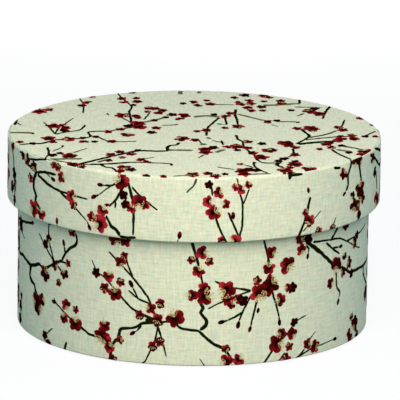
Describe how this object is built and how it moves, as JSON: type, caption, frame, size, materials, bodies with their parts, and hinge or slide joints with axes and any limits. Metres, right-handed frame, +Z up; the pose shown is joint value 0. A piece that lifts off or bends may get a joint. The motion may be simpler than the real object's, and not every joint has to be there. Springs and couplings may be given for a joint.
{
  "type": "gift box",
  "caption": "Round gift box with a deep lift-off lid, built from board rings and discs, covered in printed cloth and lined with paper.",
  "frame": {"origin": "centre of the box's foot print, on the surface that it stands on", "axes": "+Z up along the axis of the round box, which is the way the lid lifts; the seams are behind the -Y side, at 118 and 135 degrees from +X towards +Y"},
  "size_m": [0.2, 0.2, 0.104],
  "materials": {
    "printed_cloth": "matt linen-weave cloth, printed",
    "grey_board": "matt grey-brown binder's board",
    "lining_paper": "matt laid paper",
    "underside_paper": "matt plain paper",
    "gummed_tape": "matt brown gummed paper tape"
  },
  "bodies": {
    "base": {"base_underside_sheet": "underside_paper", "base_floor_board": "grey_board", "base_wall_board": "grey_board", "base_wall_seam_tape": "gummed_tape", "base_side_cover": "printed_cloth", "base_side_lining": "lining_paper", "base_floor_lining": "lining_paper"},
    "lid": {"lid_top_board": "grey_board", "lid_rim_board": "grey_board", "lid_rim_seam_tape": "gummed_tape", "lid_top_cover": "printed_cloth", "lid_side_cover": "printed_cloth", "lid_side_lining": "lining_paper", "lid_top_lining": "lining_paper"}
  },
  "joints": [
    {"name": "lid_lift", "type": "slide", "parent": "base", "child": "lid", "axis": [0, 0, 1], "range_m": [0, 0.1]}
  ]
}
